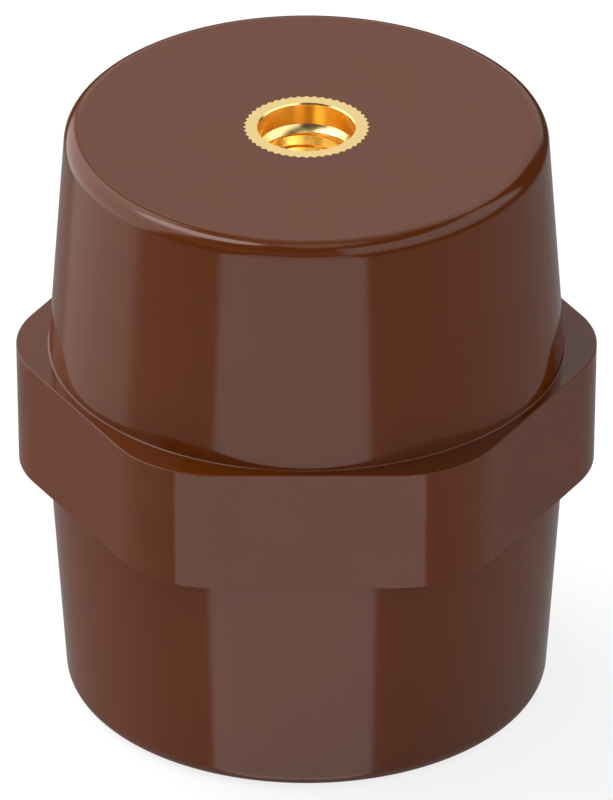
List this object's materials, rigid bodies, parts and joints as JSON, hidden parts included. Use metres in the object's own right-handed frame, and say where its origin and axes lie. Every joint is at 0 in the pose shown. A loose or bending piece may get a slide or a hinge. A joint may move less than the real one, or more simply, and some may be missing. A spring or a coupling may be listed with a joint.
{
  "type": "support insulator",
  "caption": "Drum-shaped moulded support insulator with a hexagonal collar at mid height and a flush brass threaded insert in each end face.",
  "frame": {"origin": "centre of the lower end face, on the insulator's axis", "axes": "+Z along the insulator's axis, out of the upper end face; -Y square to one flat of the hexagonal collar; +X through a corner of the hexagon"},
  "size_m": [0.0652, 0.0598, 0.07],
  "materials": {
    "moulded_body": "glossy moulded glass-fibre polyester, red-brown",
    "brass": "turned, bright"
  },
  "bodies": {
    "root": {"insulator_body": "moulded_body", "top_insert": "brass", "bottom_insert": "brass"}
  },
  "joints": []
}
